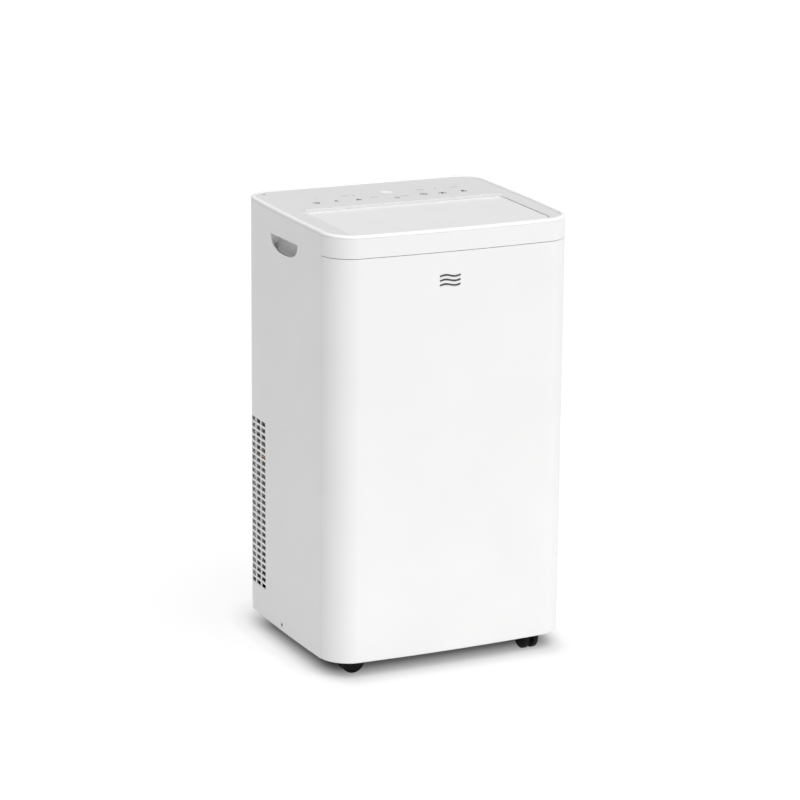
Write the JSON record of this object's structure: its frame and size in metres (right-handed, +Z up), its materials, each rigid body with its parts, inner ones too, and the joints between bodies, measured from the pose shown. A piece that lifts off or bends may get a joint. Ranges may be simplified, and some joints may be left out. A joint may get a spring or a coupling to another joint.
{
  "type": "portable air conditioner",
  "caption": "Upright portable air conditioner: bowed white cabinet with a recessed grip each side, a top outlet flap in front of a touch deck, side and rear intake grilles, and swivel castors.",
  "frame": {"origin": "on the floor under the middle of the whole object's box", "axes": "+Z up, front panel towards -Y, exhaust collar towards +Y, +X to the right seen from the front"},
  "size_m": [0.436, 0.384, 0.742],
  "materials": {
    "white_shell": "fine satin white ABS",
    "deck": "smooth satin, a shade greyer than the shell",
    "flap": "smooth satin",
    "air_parts": "smooth light grey",
    "black_plastic": "fine texture",
    "black_rubber": "moulded, matt",
    "castor_black": "smooth nylon",
    "mesh": "woven nylon mesh in a plastic frame",
    "steel": "zinc plated",
    "black_steel": "semi-gloss black enamel",
    "copper": "drawn copper tube",
    "fins": "thin pressed sheet",
    "inner_plastic": "plain moulded grey",
    "board_green": "circuit board with parts",
    "float_cream": "plain moulded"
  },
  "bodies": {
    "cabinet": {"front_panel": "white_shell", "upper_front_band": "white_shell", "side_panel_left": "white_shell", "side_panel_right": "white_shell", "rear_panel": "white_shell", "top_rim": "white_shell", "top_deck": "deck", "control_board": "board_green", "handle_left": "white_shell", "handle_right": "white_shell", "flap_motor": "inner_plastic", "outlet_duct": "air_parts", "exhaust_collar": "white_shell", "cable_gland": "black_rubber", "panel_screws": "black_steel", "base_pan": "black_plastic", "castor_sockets": "steel", "divider_tray": "inner_plastic", "exhaust_duct": "inner_plastic", "compressor": "black_steel", "accumulator": "black_steel", "compressor_grommets": "black_rubber", "condenser_fins": "fins", "condenser_tubes": "copper", "evaporator_fins": "fins", "evaporator_tubes": "copper", "lower_fan_housing": "inner_plastic", "lower_fan_motor": "steel", "upper_fan_housing": "inner_plastic", "upper_fan_motor": "steel", "slinger_motor": "steel", "refrigerant_pipes": "copper", "capillary_tube": "copper", "control_box": "black_plastic", "main_board": "board_green"},
    "flap": {"flap": "flap"},
    "float_switch": {"float_switch": "float_cream"},
    "intake_filter": {"intake_filter": "mesh"},
    "intake_grille": {"intake_grille": "white_shell"},
    "lower_drain_plug": {"lower_drain_plug": "black_rubber"},
    "lower_fan_wheel": {"lower_fan_wheel": "inner_plastic"},
    "power_button": {"power_button": "white_shell"},
    "slinger_wheel": {"slinger_wheel": "inner_plastic"},
    "upper_drain_plug": {"upper_drain_plug": "black_rubber"},
    "upper_fan_wheel": {"upper_fan_wheel": "inner_plastic"},
    "vane_link": {"vane_link": "air_parts"},
    "vane_1": {"vane_1": "air_parts"},
    "vane_2": {"vane_2": "air_parts"},
    "vane_3": {"vane_3": "air_parts"},
    "vane_4": {"vane_4": "air_parts"},
    "vane_5": {"vane_5": "air_parts"},
    "vane_6": {"vane_6": "air_parts"},
    "castor_1_fork": {"castor_1_fork": "castor_black"},
    "castor_1_wheels": {"castor_1_wheels": "castor_black"},
    "castor_2_fork": {"castor_2_fork": "castor_black"},
    "castor_2_wheels": {"castor_2_wheels": "castor_black"},
    "castor_3_fork": {"castor_3_fork": "castor_black"},
    "castor_3_wheels": {"castor_3_wheels": "castor_black"},
    "castor_4_fork": {"castor_4_fork": "castor_black"},
    "castor_4_wheels": {"castor_4_wheels": "castor_black"}
  },
  "joints": [
    {"name": "flap_open", "type": "hinge", "parent": "cabinet", "child": "flap", "pos_m": [0, 0.0008, 0.73325], "axis": [-1, 0, 0], "range_deg": [0, 75]},
    {"name": "vane_1_turn", "type": "hinge", "parent": "cabinet", "child": "vane_1", "pos_m": [-0.125, -0.095, 0.696], "axis": [0, 1, 0], "range_deg": [-40, 40]},
    {"name": "vane_2_turn", "type": "hinge", "parent": "cabinet", "child": "vane_2", "pos_m": [-0.075, -0.095, 0.696], "axis": [0, 1, 0], "range_deg": [-40, 40]},
    {"name": "vane_3_turn", "type": "hinge", "parent": "cabinet", "child": "vane_3", "pos_m": [-0.025, -0.095, 0.696], "axis": [0, 1, 0], "range_deg": [-40, 40]},
    {"name": "vane_4_turn", "type": "hinge", "parent": "cabinet", "child": "vane_4", "pos_m": [0.025, -0.095, 0.696], "axis": [0, 1, 0], "range_deg": [-40, 40]},
    {"name": "vane_5_turn", "type": "hinge", "parent": "cabinet", "child": "vane_5", "pos_m": [0.075, -0.095, 0.696], "axis": [0, 1, 0], "range_deg": [-40, 40]},
    {"name": "vane_6_turn", "type": "hinge", "parent": "cabinet", "child": "vane_6", "pos_m": [0.125, -0.095, 0.696], "axis": [0, 1, 0], "range_deg": [-40, 40]},
    {"name": "vane_link_sway", "type": "hinge", "parent": "vane_1", "child": "vane_link", "pos_m": [-0.125, -0.162, 0.685], "axis": [0, 1, 0], "range_deg": [-40, 40]},
    {"name": "power_press", "type": "slide", "parent": "cabinet", "child": "power_button", "axis": [0, 0.0215, -0.9998], "range_m": [0, 0.0008], "stiffness_N_per_m": 400, "springref_m": -0.0005},
    {"name": "grille_open", "type": "hinge", "parent": "cabinet", "child": "intake_grille", "pos_m": [0, 0.1765, 0.526], "axis": [-1, 0, 0], "range_deg": [0, 50]},
    {"name": "filter_unclip", "type": "slide", "parent": "intake_grille", "child": "intake_filter", "axis": [0, -1, 0], "range_m": [0, 0.01]},
    {"name": "lower_drain_pull", "type": "slide", "parent": "cabinet", "child": "lower_drain_plug", "axis": [0, 1, 0], "range_m": [0, 0.02]},
    {"name": "upper_drain_pull", "type": "slide", "parent": "cabinet", "child": "upper_drain_plug", "axis": [0, 1, 0], "range_m": [0, 0.02]},
    {"name": "lower_fan_spin", "type": "hinge", "parent": "cabinet", "child": "lower_fan_wheel", "pos_m": [0.072, 0.02, 0.216], "axis": [0, -1, 0], "continuous": true},
    {"name": "upper_fan_spin", "type": "hinge", "parent": "cabinet", "child": "upper_fan_wheel", "pos_m": [-0.052, -0.07, 0.588], "axis": [0, -1, 0], "continuous": true},
    {"name": "slinger_spin", "type": "hinge", "parent": "cabinet", "child": "slinger_wheel", "pos_m": [0.092, 0.08, 0.07], "axis": [0, -1, 0], "continuous": true},
    {"name": "float_rise", "type": "slide", "parent": "cabinet", "child": "float_switch", "axis": [0, 0, 1], "range_m": [0, 0.02]},
    {"name": "castor_1_swivel", "type": "hinge", "parent": "cabinet", "child": "castor_1_fork", "pos_m": [-0.152, -0.148, 0.06], "axis": [0, 0, 1], "continuous": true},
    {"name": "castor_1_roll", "type": "hinge", "parent": "castor_1_fork", "child": "castor_1_wheels", "pos_m": [-0.166, -0.148, 0.02], "axis": [0, -1, 0], "continuous": true},
    {"name": "castor_2_swivel", "type": "hinge", "parent": "cabinet", "child": "castor_2_fork", "pos_m": [0.152, -0.148, 0.06], "axis": [0, 0, 1], "continuous": true},
    {"name": "castor_2_roll", "type": "hinge", "parent": "castor_2_fork", "child": "castor_2_wheels", "pos_m": [0.152, -0.162, 0.02], "axis": [1, 0, 0], "continuous": true},
    {"name": "castor_3_swivel", "type": "hinge", "parent": "cabinet", "child": "castor_3_fork", "pos_m": [-0.152, 0.136, 0.06], "axis": [0, 0, 1], "continuous": true},
    {"name": "castor_3_roll", "type": "hinge", "parent": "castor_3_fork", "child": "castor_3_wheels", "pos_m": [-0.166, 0.136, 0.02], "axis": [0, -1, 0], "continuous": true},
    {"name": "castor_4_swivel", "type": "hinge", "parent": "cabinet", "child": "castor_4_fork", "pos_m": [0.152, 0.136, 0.06], "axis": [0, 0, 1], "continuous": true},
    {"name": "castor_4_roll", "type": "hinge", "parent": "castor_4_fork", "child": "castor_4_wheels", "pos_m": [0.152, 0.122, 0.02], "axis": [1, 0, 0], "continuous": true}
  ],
  "couplings": [
    {"joint": "vane_2_turn", "follows": "vane_1_turn", "ratio": 1},
    {"joint": "vane_3_turn", "follows": "vane_1_turn", "ratio": 1},
    {"joint": "vane_4_turn", "follows": "vane_1_turn", "ratio": 1},
    {"joint": "vane_5_turn", "follows": "vane_1_turn", "ratio": 1},
    {"joint": "vane_6_turn", "follows": "vane_1_turn", "ratio": 1},
    {"joint": "vane_link_sway", "follows": "vane_1_turn", "ratio": -1}
  ]
}
